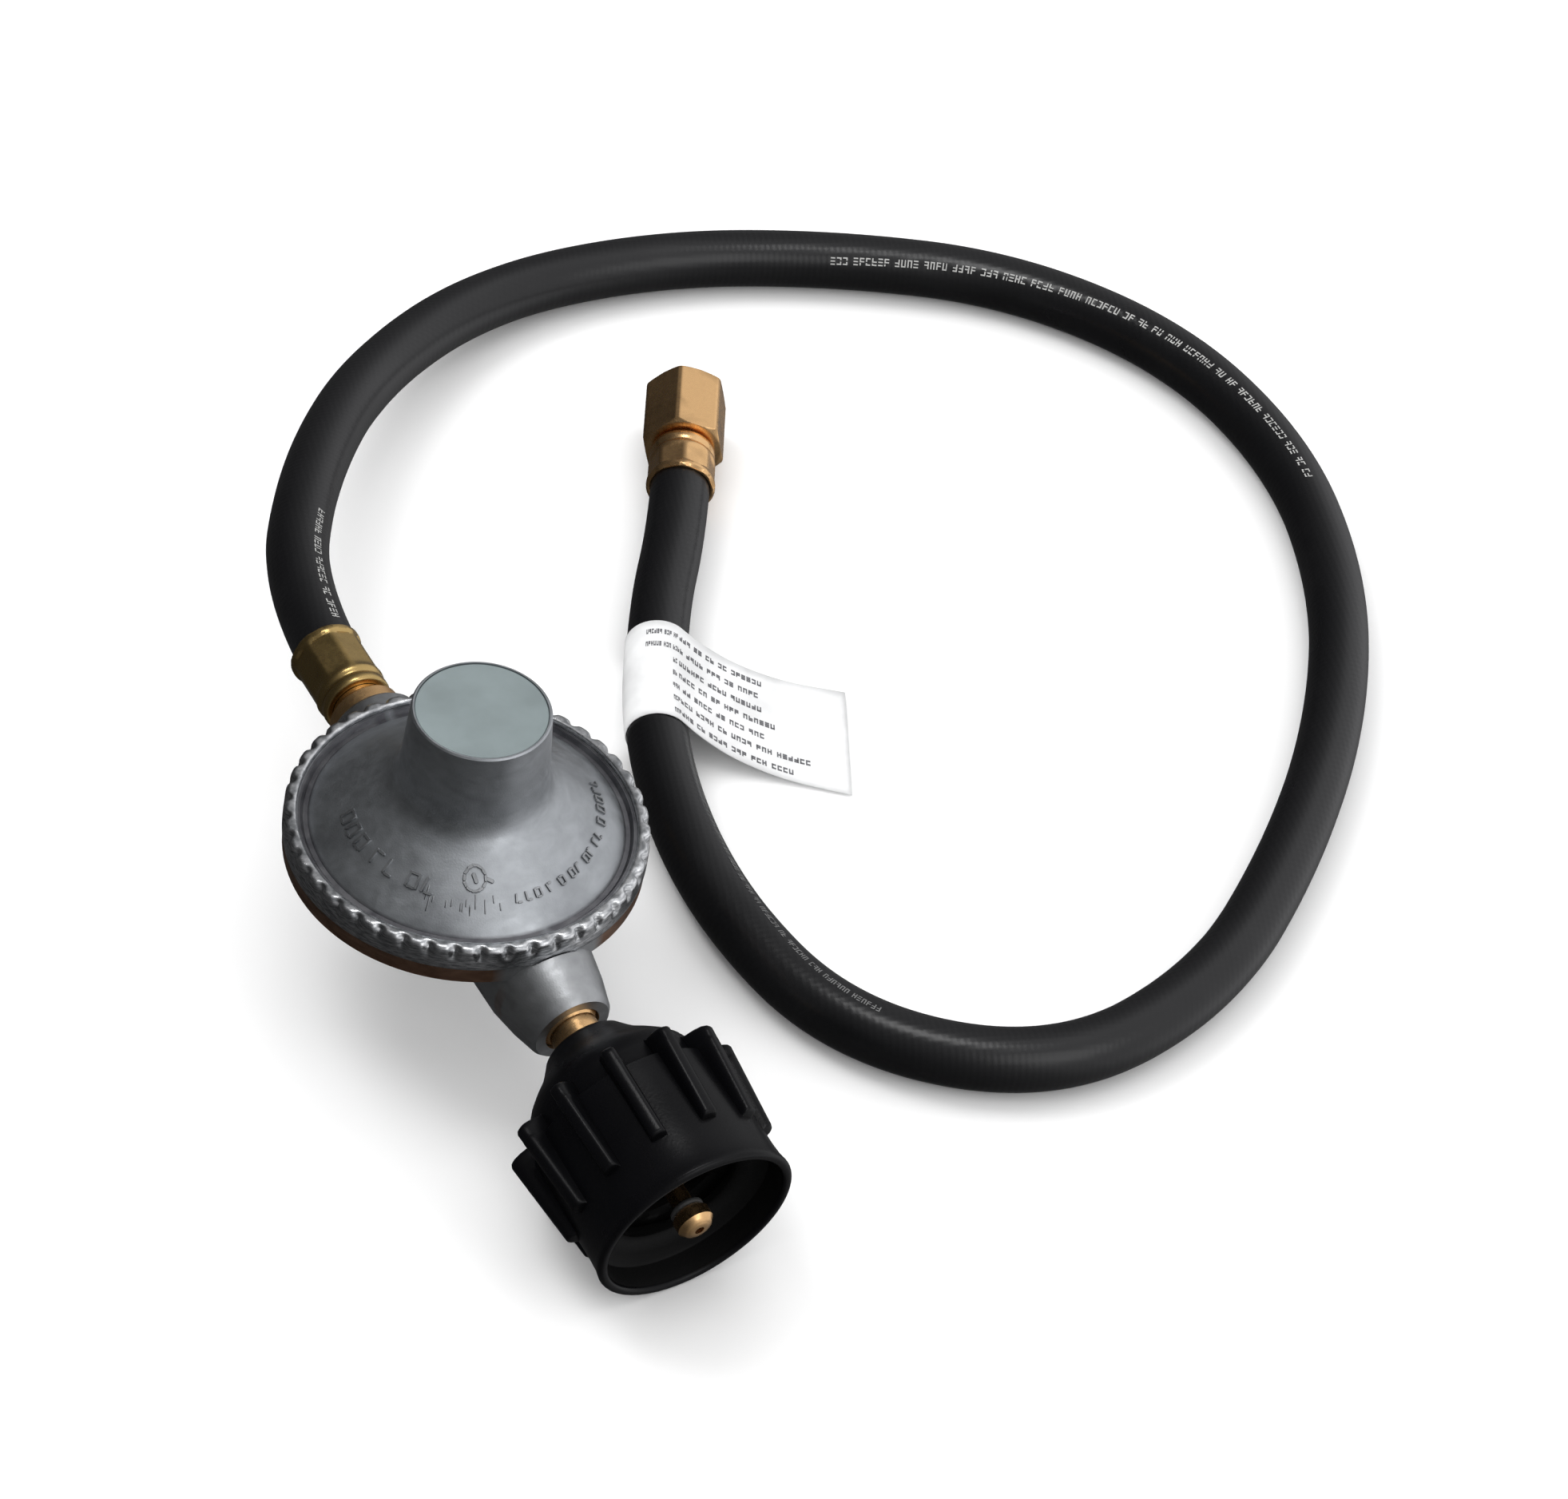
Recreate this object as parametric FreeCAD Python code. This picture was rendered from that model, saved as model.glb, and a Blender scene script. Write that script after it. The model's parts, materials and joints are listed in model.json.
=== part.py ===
import FreeCAD, Part
import math
import os
from FreeCAD import Rotation, Vector

# Low-pressure propane regulator with its hose.  Millimetres, +Z up.  The tower stands along +Z,
# the tank nut points towards -Y and the outlet almost towards +Y.  The surface that the nut and the hose
# lie on is z = 0, and the origin lies on it under the middle of the regulator and its two ends.

# ---- driving dimensions: where things stand -------------------------------------------------
TOWER_Y = 17.5          # tower axis, from the origin
AXIS_Z = 32.25          # height of the outlet axis
INLET_DROP = 6.5        # the inlet axis points down by this many degrees
OUTLET_TURN = 2.8       # the outlet axis is turned from +Y towards +X by this many degrees
INLET_PIVOT_Y = -27.0   # where the inlet axis leaves the outlet axis, from the tower axis

# ---- driving dimensions: regulator body (heights are from the outlet axis) -------------------
BODY_R = 40.3           # flange of the lower body
RIM_R = 40.6            # rolled rim
RIM_LIP_R = 37.9        # inner edge of the rolled rim, where it holds the cover
COVER_R = 38.4
SEAM_Z = 9.4            # top face of the lower body's flange
DIAPHRAGM_T = 1.0
CHAMBER_R = 33.5        # free part of the diaphragm
COVER_EDGE_Z = 14.4     # outer edge of the cover
RIM_TOP_Z = 15.6
TOWER_BASE_R = 16.8
TOWER_TOP_R = 15.4
TOWER_TOP_Z = 48.4
CAP_R = 14.7
CAP_T = 3.0
SPRING_BORE_R = 12.5
VENT_R = 1.6            # vent hole through the cover
VENT_X = 16.5
VENT_Y = 20.5
NECK_ROOT_R = 12.6
NECK_END_R = 9.8
NECK_END = 24.0         # end of the inlet neck, along the inlet axis from its pivot
PORT_R = 6.6            # threaded ports of the inlet neck and the outlet boss
CRIMPS = 44             # dents pressed into the rolled rim

# ---- driving dimensions: mechanism ----------------------------------------------------------
LEVER_PIN_Y = -14.0
LEVER_PIN_Z = -6.0
LEVER_PIN_R = 1.0
LEVER_T = 1.5
LEVER_W = 4.0
ORIFICE_FACE_Y = -20.85
VALVE_R = 4.0
SEAT_R = 3.0            # rubber seat in the valve's nose
ORIFICE_R = 0.9
CLEVIS_HALF = 2.6       # half the gap between the lever's two ears
RUNNING_GAP = 0.06      # radial clearance of a sliding or turning fit
PLATE_R = 23.0
STEM_R = 2.4

# ---- driving dimensions: tank nut (distances along the inlet axis from its pivot) ------------
NUT_MOUTH = 79.5
NUT_LENGTH = 50.0
NUT_MOUTH_R = 23.4
NUT_LIP_BORE_R = 21.2
NUT_THREAD_R = 14.7
NUT_WAIST_R = 20.6
NUT_HOLE_R = 6.3
RIBS = 12
RIB_W = 4.2
RIB_TIP_R = 27.15
RIB_END_R = 25.05
RIB_START = 44.6
RIB_END = 68.2
RIB_PHASE = 18.5        # degrees from +X to the first rib
BUSHING_BORE_R = 7.1
COLLAR_R = 5.6
PROBE_R = 2.35
PROBE_HEAD_R = 4.2
PROBE_BORE_R = 1.1

# ---- driving dimensions: hose and its fittings ----------------------------------------------
HOSE_R = 7.5
HOSE_BORE_R = 4.0
STEM_BORE_R = 2.6
OUTLET_FACE_Y = 47.0    # end of the outlet boss, from the tower axis
HOSE_START_Y = 57.1     # cut end of the hose, from the tower axis
FERRULE_R = 8.7
FERRULE_L = 19.0        # outlet ferrule
END_FERRULE_L = 13.5    # ferrule of the flare fitting
BARB_L = 16.0
END_BARB_L = 11.0
HEX_AF = 19.05          # 3/4 inch across flats
FLARE_NUT_START = 3.4    # back face of the flare nut, from the end of the hose
FLARE_NUT_L = 21.0
FLARE_NUT_TURN = 45      # degrees the nut is turned on its stem from a corner upwards
FLARE_THREAD_R = 7.25    # minor radius of the 5/8-18 UNF thread
FLARE_RELIEF_R = 7.9
LABEL_T = 0.3
LABEL_GAP = 0.9         # between the hose and its label

# The hose's route, from its end in the outlet fitting to its end in the flare fitting.
HOSE_ROUTE = [
    (2.79, 74.53, 32.25),
    (4.52, 109.89, 32.25),
    (30.2, 150.6, 28.5),
    (67.3, 189.6, 17.5),
    (116, 215, 9.2),
    (167, 213, 7.5),
    (213, 195, 7.5),
    (254, 169, 7.5),
    (280, 127, 7.5),
    (282, 78, 7.5),
    (264, 32, 7.5),
    (235, -6, 7.5),
    (198, -39, 7.5),
    (155, -67, 7.5),
    (106, -74, 7.5),
    (67.5, -43.7, 7.5),
    (61.2, 3.6, 7.5),
    (72.6, 51.2, 7.5),
    (97.6, 92.1, 8.3),
    (118.02, 117.23, 9.55),
    (131, 137.4, 10.5),
]
LABEL_AT = 18           # the label is wrapped round the hose before this point of the route
LABEL_SHARE = 0.44      # how far its middle is from the point before to this one
LABEL_W = 31.6          # width of the label along the hose
TAIL_L = 46.5           # length of the label's loose tail, from the hose's axis
TAIL_DROP = 5.0         # how far the tail's loose edge hangs below the hose's axis


# ---- small helpers ---------------------------------------------------------------------------
MIDDLE = Vector(0, 0, 0)
UP = Vector(0, 0, 1)
TO_INLET = Vector(0, -1, 0)
TO_OUTLET = Vector(math.sin(math.radians(OUTLET_TURN)), math.cos(math.radians(OUTLET_TURN)), 0)
ACROSS = Vector(1, 0, 0)


def turned(points):
    """Solid of revolution about Z of a closed outline of (radius, height) points."""
    corners = [Vector(r, 0, z) for r, z in points]
    face = Part.Face(Part.makePolygon(corners + corners[:1]))
    return face.revolve(MIDDLE, UP, 360)


def rod(radius, low, high):
    return Part.makeCylinder(radius, high - low, Vector(0, 0, low))


def sleeve(outer, inner, low, high):
    return rod(outer, low, high).cut(rod(inner, low - 1, high + 1))


def block(x0, x1, y0, y1, z0, z1):
    return Part.makeBox(x1 - x0, y1 - y0, z1 - z0, Vector(x0, y0, z0))


def hexagon(across_flats, low, high):
    corner = across_flats / math.sqrt(3)
    angles = [math.radians(60 * k) for k in range(7)]
    corners = [Vector(corner * math.cos(a), corner * math.sin(a), low) for a in angles]
    return Part.Face(Part.makePolygon(corners)).extrude(Vector(0, 0, high - low))


def coil(mean_r, wire_r, low, high, turns):
    """Compression spring standing between two heights, its wire drawn with eight flats."""
    steps = 12 * turns
    rise = high - low - 2 * wire_r
    slope = math.atan2(rise / turns, 2 * math.pi * mean_r)
    sections = []
    for k in range(steps + 1):
        angle = 2 * math.pi * k / 12
        out = Vector(math.cos(angle), math.sin(angle), 0)
        centre = out * mean_r + Vector(0, 0, low + wire_r + rise * k / steps)
        ahead = Vector(-out.y * math.cos(slope), out.x * math.cos(slope), math.sin(slope))
        across = ahead.cross(out)
        eighths = [math.radians(45 * i) for i in range(8)]
        ring = [centre + (out * math.cos(a) + across * math.sin(a)) * wire_r for a in eighths]
        sections.append(Part.makePolygon(ring + ring[:1]))
    return Part.makeLoft(sections, True, True)


def around(shape, count, first=0.0):
    """The same shape repeated evenly about Z."""
    copies = []
    for k in range(count):
        copy = shape.copy()
        copy.rotate(MIDDLE, UP, first + 360.0 * k / count)
        copies.append(copy)
    return copies


def both_sides(shape):
    """A shape and its mirror image on the other side of x = 0."""
    return [shape, shape.mirror(MIDDLE, ACROSS)]


def joined(shapes):
    return shapes[0].multiFuse(shapes[1:]).removeSplitter()


def placed(shape, origin, direction):
    """Takes a shape built along +Z to an origin, with +Z turned to a direction."""
    copy = shape.copy()
    move = FreeCAD.Placement(origin, Rotation(UP, direction))
    copy.Placement = move.multiply(copy.Placement)
    return copy


DROP = math.radians(INLET_DROP)
AXIS = Vector(0, TOWER_Y, AXIS_Z)
INLET_PIVOT = Vector(0, TOWER_Y + INLET_PIVOT_Y, AXIS_Z)
INLET_DIR = Vector(0, -math.cos(DROP), -math.sin(DROP))
LEVER_PIN = Vector(0, LEVER_PIN_Y, LEVER_PIN_Z)     # in the body's own frame


def regulator(shape):
    """From the body's own frame (tower axis along Z, outlet axis at z = 0) to the part's frame."""
    copy = shape.copy()
    copy.translate(AXIS)
    return copy


def in_body(shape):
    """From the inlet's own frame to the body's own frame."""
    return placed(shape, Vector(0, INLET_PIVOT_Y, 0), INLET_DIR)


def inlet(shape):
    return placed(shape, INLET_PIVOT, INLET_DIR)


def outlet(shape):
    return placed(shape, AXIS, TO_OUTLET)


# ---- castings --------------------------------------------------------------------------------
def lower_body():
    bowl = turned([(0, -18), (15, -18), (17, -16.8), (27, -7), (34, 1.2), (38.6, 4.2), (BODY_R, 5.6),
                   (BODY_R, SEAM_Z), (0, SEAM_Z)])
    neck = in_body(turned([(0, -4), (NECK_ROOT_R + 0.4, -4), (NECK_ROOT_R, 10), (11.4, 17),
                           (NECK_END_R, NECK_END - 1), (NECK_END_R - 0.8, NECK_END), (0, NECK_END)]))
    boss = placed(turned([(0, 20), (12, 20), (11.4, 42), (11.0, OUTLET_FACE_Y - 1),
                          (10.2, OUTLET_FACE_Y), (0, OUTLET_FACE_Y)]), MIDDLE, TO_OUTLET)
    bosses = neck.fuse(boss).cut(rod(BODY_R, SEAM_Z, RIM_TOP_Z + 5))
    bosses = bosses.cut(sleeve(RIM_R + 0.25, BODY_R - 2, SEAM_Z - 0.01, RIM_TOP_Z + 5))
    chamber = turned([(0, -14.6), (14, -14.6), (22, -8), (29, 1), (CHAMBER_R, 6.2), (CHAMBER_R, SEAM_Z + 1),
                      (0, SEAM_Z + 1)])
    shell = bowl.fuse(bosses).cut(chamber)
    guide = placed(rod(7, -LEVER_PIN_Y - 2, 33), MIDDLE, TO_INLET)
    ear = block(CLEVIS_HALF, CLEVIS_HALF + 3.4, LEVER_PIN_Y - 3, LEVER_PIN_Y + 3, -9, -1)
    body = joined([shell, guide] + both_sides(ear))
    body = body.cut(placed(rod(VALVE_R + RUNNING_GAP, 0, 21.5), MIDDLE, TO_INLET))
    body = body.cut(placed(rod(4.2, 20, 27.5), MIDDLE, TO_INLET))
    body = body.cut(block(-CLEVIS_HALF, CLEVIS_HALF, LEVER_PIN_Y - 3.2, LEVER_PIN_Y + 4, -10, 0))
    body = body.cut(block(-2.5, 2.5, ORIFICE_FACE_Y - 0.4, ORIFICE_FACE_Y + 1.6, 0, 9))
    body = body.cut(placed(rod(LEVER_PIN_R, -6.2, 6.2), LEVER_PIN, ACROSS))
    body = body.cut(in_body(rod(PORT_R, 10, NECK_END + 1))).cut(in_body(rod(3.0, -2, 11)))
    body = body.cut(placed(rod(PORT_R, OUTLET_FACE_Y - 13, OUTLET_FACE_Y + 1), MIDDLE, TO_OUTLET))
    return body.cut(placed(rod(4.0, 15, OUTLET_FACE_Y), MIDDLE, TO_OUTLET))


def cover():
    seat = SEAM_Z + DIAPHRAGM_T
    outside = [(COVER_R, seat), (COVER_R, COVER_EDGE_Z - 0.7), (RIM_LIP_R - 0.2, COVER_EDGE_Z),
               (36.9, COVER_EDGE_Z + 0.1), (36.2, 13.5), (35.2, 13.6), (34.2, 14.6), (32, 16.3), (28, 19.2),
               (24, 22.0), (20, 24.8), (18.2, 26.4), (17.2, 28.2), (TOWER_BASE_R - 0.2, 30.5),
               (TOWER_TOP_R, TOWER_TOP_Z - 0.35), (TOWER_TOP_R - 0.35, TOWER_TOP_Z)]
    inside = [(CAP_R, TOWER_TOP_Z), (CAP_R, TOWER_TOP_Z - CAP_T), (SPRING_BORE_R, TOWER_TOP_Z - CAP_T),
              (SPRING_BORE_R, 24.5), (17, 23.2), (22, 19.8), (28, 15.6), (31.5, 13.2), (CHAMBER_R, 12.2),
              (CHAMBER_R, seat)]
    vent = rod(VENT_R, 10, 40)
    vent.translate(Vector(VENT_X, VENT_Y, 0))
    return turned(outside + inside).cut(vent)


def crimp_ring():
    """Rolled lip that clamps the cover: its corner carries the dents of the crimping tool."""
    corner = [(RIM_R - 1.1 + 1.1 * math.sin(a), RIM_TOP_Z - 1.1 + 1.1 * math.cos(a))
              for a in (math.radians(15 * k) for k in range(7))]
    profile = [(COVER_R, SEAM_Z), (COVER_R, COVER_EDGE_Z - 0.7), (RIM_LIP_R - 0.2, COVER_EDGE_Z),
               (RIM_LIP_R - 0.2, RIM_TOP_Z - 0.35), (RIM_LIP_R + 0.2, RIM_TOP_Z)]
    ring = turned(profile + corner + [(RIM_R, SEAM_Z)])
    dent = Part.makeSphere(2.2, Vector(RIM_R + 1.5, 0, RIM_TOP_Z + 0.5))
    return ring.cut(Part.makeCompound(around(dent, CRIMPS)))


def diaphragm():
    """Flat rubber sheet with one raised convolution, clamped at its edge under the cover."""
    low, high = SEAM_Z, SEAM_Z + DIAPHRAGM_T
    top = [(STEM_R + 0.1, high), (24, high), (25.2, high + 1.6), (27, high + 2.6), (28.8, high + 2.0),
           (30.4, high), (RIM_LIP_R, high)]
    under = [(RIM_LIP_R, low), (29.8, low), (28.4, low + 1.7), (27, low + 1.7), (25.8, low + 1.1),
             (24.8, low), (STEM_R + 0.1, low)]
    return turned(top + under)


def closing_cap():
    low, high = TOWER_TOP_Z - CAP_T, TOWER_TOP_Z - 0.2
    return turned([(0, low), (CAP_R, low), (CAP_R, high - 0.3), (CAP_R - 0.3, high), (0, high)])


def vent_screen():
    screen = rod(VENT_R, 19.6, 20.2)
    screen.translate(Vector(VENT_X, VENT_Y, 0))
    return screen


# ---- pressure adjustment ---------------------------------------------------------------------
def adjusting_screw():
    screw = rod(SPRING_BORE_R - RUNNING_GAP, 38, 44)
    grooves = [sleeve(20, SPRING_BORE_R - 0.9, z, z + 0.8) for z in (39.4, 41.6)]
    return screw.cut(Part.makeCompound(grooves)).cut(hexagon(9.5, 40.5, 45))


def upper_spring_seat():
    return turned([(0, 35.6), (6.6, 35.6), (7.4, 36.4), (11.4, 36.4), (11.4, 37.95), (0, 37.95)])


def diaphragm_plate():
    low = SEAM_Z + DIAPHRAGM_T + 0.05
    return turned([(STEM_R + RUNNING_GAP, low), (PLATE_R - 1, low), (PLATE_R, low + 1.2),
                   (PLATE_R - 0.6, low + 1.5), (PLATE_R - 2, low + 1.3), (7.6, low + 1.3),
                   (7.2, low + 2.2), (6.2, low + 2.2), (5.8, low + 1.3), (STEM_R + RUNNING_GAP, low + 1.3)])


def relief_stem():
    """Post hung from the diaphragm: its flange closes the relief hole, its yoke holds the lever."""
    post = turned([(0, -1), (STEM_R, -1), (STEM_R, 7.4), (5, 7.8), (5.2, SEAM_Z - 0.05),
                   (STEM_R, SEAM_Z - 0.05), (STEM_R, 19.6), (STEM_R - 0.4, 20), (0, 20)])
    yoke = block(-3.6, 3.6, -2.5, 2.5, -9, 0)
    slot = block(-LEVER_W / 2 - 0.3, LEVER_W / 2 + 0.3, -3, 3, LEVER_PIN_Z - 1.4, LEVER_PIN_Z + 1.4)
    return post.fuse(yoke).cut(slot).removeSplitter()


def relief_nut():
    return hexagon(9.6, 17.7, 19.4).cut(rod(STEM_R, 17, 21))


# ---- lever and valve -------------------------------------------------------------------------
def lever():
    y, z = LEVER_PIN_Y, LEVER_PIN_Z
    half = LEVER_T / 2
    side = LEVER_W / 2
    long_arm = block(-side, side, y, 2.2, z - half, z + half)
    short_arm = block(-side + 0.5, side - 0.5, y - half, y + half, z, z + 5.8)
    eye = placed(rod(1.9, -side, side), LEVER_PIN, ACROSS)
    hole = placed(rod(LEVER_PIN_R + RUNNING_GAP, -5, 5), LEVER_PIN, ACROSS)
    return joined([long_arm, short_arm, eye]).cut(hole)


def lever_pin():
    return placed(rod(LEVER_PIN_R, -6.1, 6.1), LEVER_PIN, ACROSS)


def valve_holder():
    carriage = placed(rod(VALVE_R, 11.6, 19.0), MIDDLE, TO_INLET)
    carriage = carriage.cut(placed(rod(SEAT_R, 18.0, 19.5), MIDDLE, TO_INLET))
    return carriage.cut(block(-2, 2, LEVER_PIN_Y - 1.55, LEVER_PIN_Y + 1.55, -5, 1.6))


def seat_disc():
    return placed(rod(SEAT_R, 18.0, 20.0), MIDDLE, TO_INLET)


def orifice():
    nozzle = turned([(0, -ORIFICE_FACE_Y), (1.8, -ORIFICE_FACE_Y), (2.4, 22), (4.18, 22), (4.18, 26.9),
                     (0, 26.9)])
    nozzle = nozzle.cut(rod(ORIFICE_R, 19, 25)).cut(rod(2.2, 24, 28))
    return placed(nozzle, MIDDLE, TO_INLET)


# ---- inlet: nipple, excess-flow valve, probe and tank nut -----------------------------------
def inlet_nipple():
    thread_r = PORT_R - 0.05
    outside = turned([(0, 10.5), (6.2, 10.5), (thread_r, 11.1), (thread_r, 23), (COLLAR_R, 24.1),
                      (COLLAR_R, 34.6), (9, 34.7), (9, 37.5), (7, 37.9), (7, 53.7), (6.2, 54.5), (0, 54.5)])
    chamber = rod(4.6, 39.5, 51.5)
    return outside.cut(rod(2.8, 9, 40)).cut(chamber).cut(rod(3.4, 51, 56))


def check_poppet():
    """Excess-flow valve: a rush of gas drives it back against its spring on to the nipple's bore."""
    poppet = turned([(0, 43.5), (1.6, 43.5), (2.2, 44.4), (2.2, 47), (4.2, 47), (4.2, 50.5), (0, 50.5)])
    flute = rod(0.8, 46, 52)
    flute.translate(Vector(4.4, 0, 0))
    return poppet.cut(Part.makeCompound(around(flute, 4)))


def check_spring():
    return coil(3.4, 0.35, 39.6, 46.9, 5)


def probe():
    head = [(PROBE_R, 75.7), (PROBE_HEAD_R - 0.7, 75.7), (PROBE_HEAD_R, 76.5), (PROBE_HEAD_R, 78.9),
            (PROBE_HEAD_R - 1.0, 80.1), (2.0, 80.6), (0, 80.6)]
    body = turned([(0, 51), (3.38, 51), (3.38, 54.55), (4.6, 54.55), (4.6, 57.5), (PROBE_R + 0.6, 59.1),
                   (PROBE_R, 60)] + head)
    return body.cut(rod(PROBE_BORE_R, 50, 87))


def nose_seal():
    return Part.makeTorus(PROBE_R + 0.75, 0.75, Vector(0, 0, 74.9))


def thermal_bushing():
    """Plastic sleeve between the nipple's shoulder and the nut."""
    return turned([(BUSHING_BORE_R, 38), (12.6, 38), (13.8, 40), (13.8, 52.9), (12.8, 53.9),
                   (BUSHING_BORE_R, 53.9)])


def tank_nut():
    back = NUT_MOUTH - NUT_LENGTH
    outside = [(NUT_HOLE_R, back), (9.0, back), (9.8, back + 0.6), (13.2, back + 5), (16.2, back + 7.6),
               (19.4, back + 11.2), (NUT_WAIST_R, back + 14.5), (NUT_WAIST_R + 0.4, 48.7), (22.7, 49.3), (22.9, 66.5),
               (NUT_MOUTH_R - 0.1, 77), (NUT_MOUTH_R, 78.5), (NUT_MOUTH_R - 0.4, 79.2),
               (NUT_MOUTH_R - 0.9, NUT_MOUTH), (NUT_LIP_BORE_R + 0.5, NUT_MOUTH)]
    inside = [(NUT_LIP_BORE_R, 78.9), (NUT_LIP_BORE_R - 0.4, 73), (NUT_THREAD_R + 1.2, 71.7),
              (NUT_THREAD_R, 70.5), (NUT_THREAD_R, 39.5), (10, 34.3), (NUT_HOLE_R, 34.3)]
    rib_side = [Vector(19.5, 0, RIB_START), Vector(RIB_TIP_R - 1.3, 0, RIB_START),
                Vector(RIB_TIP_R, 0, RIB_START + 1.8), Vector(RIB_END_R, 0, RIB_END),
                Vector(20.5, 0, RIB_END)]
    rib = Part.Face(Part.makePolygon(rib_side + rib_side[:1])).extrude(Vector(0, RIB_W, 0))
    rib.translate(Vector(0, -RIB_W / 2, 0))
    outer = [e for e in rib.Edges if min(math.hypot(v.X, v.Y) for v in e.Vertexes) > NUT_MOUTH_R]
    along = [e for e in outer if abs(e.Vertexes[0].Y - e.Vertexes[-1].Y) < RIB_W / 2]
    rib = rib.makeFillet(RIB_W * 0.42, along)
    return joined([turned(outside + inside)] + around(rib, RIBS, RIB_PHASE))


# ---- outlet fitting, hose and flare fitting --------------------------------------------------
def barbs(start, length):
    """Outline of a hose barb's teeth, from its root towards its tip."""
    pitch = length / 4
    outline = []
    for k in range(4):
        outline += [(HOSE_BORE_R - 0.5, start + k * pitch), (HOSE_BORE_R - 0.02, start + k * pitch + 0.4)]
    return outline + [(HOSE_BORE_R - 0.7, start + length)]


def outlet_barb():
    start = HOSE_START_Y
    face = OUTLET_FACE_Y + 0.05
    thread_r = PORT_R - 0.05
    outline = [(0, face - 12.5), (6.3, face - 12.5), (thread_r, face - 12), (thread_r, face), (8.2, face),
               (8.6, face + 0.6), (8.6, 51.4), (8.2, 52), (6.4, 52.4), (6.4, 54.4), (HOSE_BORE_R - 0.5, 54.5)]
    solid = turned(outline + barbs(start, BARB_L) + [(0, start + BARB_L)])
    return solid.cut(rod(STEM_BORE_R, 30, 80))


def ferrule(start, length, hug_r):
    """Crimped brass sleeve: closed on its fitting at one end, open over the hose at the other."""
    end = start + length
    outline = [(hug_r, start), (7.6, start), (8.2, start + 0.6), (8.2, start + 2.2),
               (FERRULE_R - 0.9, start + 3.4), (FERRULE_R - 0.3, start + 5), (FERRULE_R - 0.3, end - 3.0),
               (FERRULE_R, end - 1.6), (FERRULE_R, end - 0.4), (FERRULE_R - 0.3, end), (HOSE_R, end),
               (HOSE_R, start + 2.6), (hug_r, start + 2.6)]
    flats = around(block(FERRULE_R - 0.55, 12, -12, 12, start + 5.2, end - 3.2), 8)
    return turned(outline).cut(Part.makeCompound(flats))


FITTING_DIR = (Vector(*HOSE_ROUTE[-1]) - Vector(*HOSE_ROUTE[-2])).normalize()


def fitting(shape):
    """From the flare fitting's own frame, with +Z out of the hose and +X upwards, to the part's."""
    upright = Rotation(UP, MIDDLE, FITTING_DIR, "ZXY")
    copy = shape.copy()
    copy.Placement = FreeCAD.Placement(Vector(*HOSE_ROUTE[-1]), upright).multiply(copy.Placement)
    return copy


def end_ferrule():
    sleeve_shape = ferrule(-2.6, END_FERRULE_L, 5.2)
    sleeve_shape.rotate(MIDDLE, ACROSS, 180)
    return fitting(sleeve_shape)


def end_stem():
    """Barbed stem with the 45 degree flare nose that the swivel nut pulls up."""
    tail = [(r, -z) for r, z in barbs(0, END_BARB_L)]
    nose = [(HOSE_BORE_R - 0.5, 0.05), (5.2, 0.1), (5.2, 7.2), (6.9, 8.4), (6.9, 9.4), (3.1, 13.2), (0, 13.2)]
    return fitting(turned([(0, -END_BARB_L)] + tail[::-1] + nose).cut(rod(STEM_BORE_R, -20, 20)))


def flare_nut():
    low, high = FLARE_NUT_START, FLARE_NUT_START + FLARE_NUT_L
    half = HEX_AF / 2
    chamfers = turned([(0, low), (half - 0.2, low), (half + 1.7, low + 1.1), (half + 1.7, high - 1.3),
                       (half - 0.6, high), (0, high)])
    relief = turned([(0, 6.6), (5.3, 6.6), (FLARE_RELIEF_R, 8.4), (FLARE_RELIEF_R, 13.6), (0, 13.6)])
    countersink = turned([(0, high - 0.8), (FLARE_THREAD_R, high - 0.8), (FLARE_THREAD_R + 0.9, high + 0.1),
                          (0, high + 0.1)])
    nut = hexagon(HEX_AF, low, high).common(chamfers)
    for hollow in (rod(5.2 + RUNNING_GAP, 0, 8), relief, rod(FLARE_THREAD_R, 9, high + 1), countersink):
        nut = nut.cut(hollow)
    nut.rotate(MIDDLE, UP, FLARE_NUT_TURN)
    return fitting(nut)


def hose_path(points):
    """Straight runs joined by tangent arcs, each as large as its two runs allow."""
    corners = [Vector(*p) for p in points]
    edges = []
    radii = []
    last = corners[0]
    for before, corner, after in zip(corners, corners[1:], corners[2:]):
        into, out = corner - before, after - corner
        turn = into.getAngle(out)
        reach = 0.45 * min(into.Length, out.Length)
        radii.append(reach / math.tan(turn / 2))
        start = corner - into.normalize() * reach
        end = corner + out.normalize() * reach
        inward = (out - into).normalize()
        middle = corner + inward * (radii[-1] / math.cos(turn / 2) - radii[-1])
        edges += [Part.LineSegment(last, start).toShape(), Part.Arc(start, middle, end).toShape()]
        last = end
    edges.append(Part.LineSegment(last, corners[-1]).toShape())
    print("hose radii", [round(r) for r in radii])
    return Part.Wire(edges)


def hose():
    path = hose_path(HOSE_ROUTE)
    start = Vector(*HOSE_ROUTE[0])
    direction = Vector(*HOSE_ROUTE[1]) - start
    tubes = []
    for radius in (HOSE_R, HOSE_BORE_R):
        section = Part.Wire(Part.makeCircle(radius, start, direction))
        tubes.append(path.makePipeShell([section], True, False))
    tube = tubes[0].cut(tubes[1])
    area = math.pi * (HOSE_R ** 2 - HOSE_BORE_R ** 2)
    print("hose length", round(path.Length, 1))
    print("volume / (section x length)", round(tube.Volume / area / path.Length, 5))
    return tube


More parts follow.
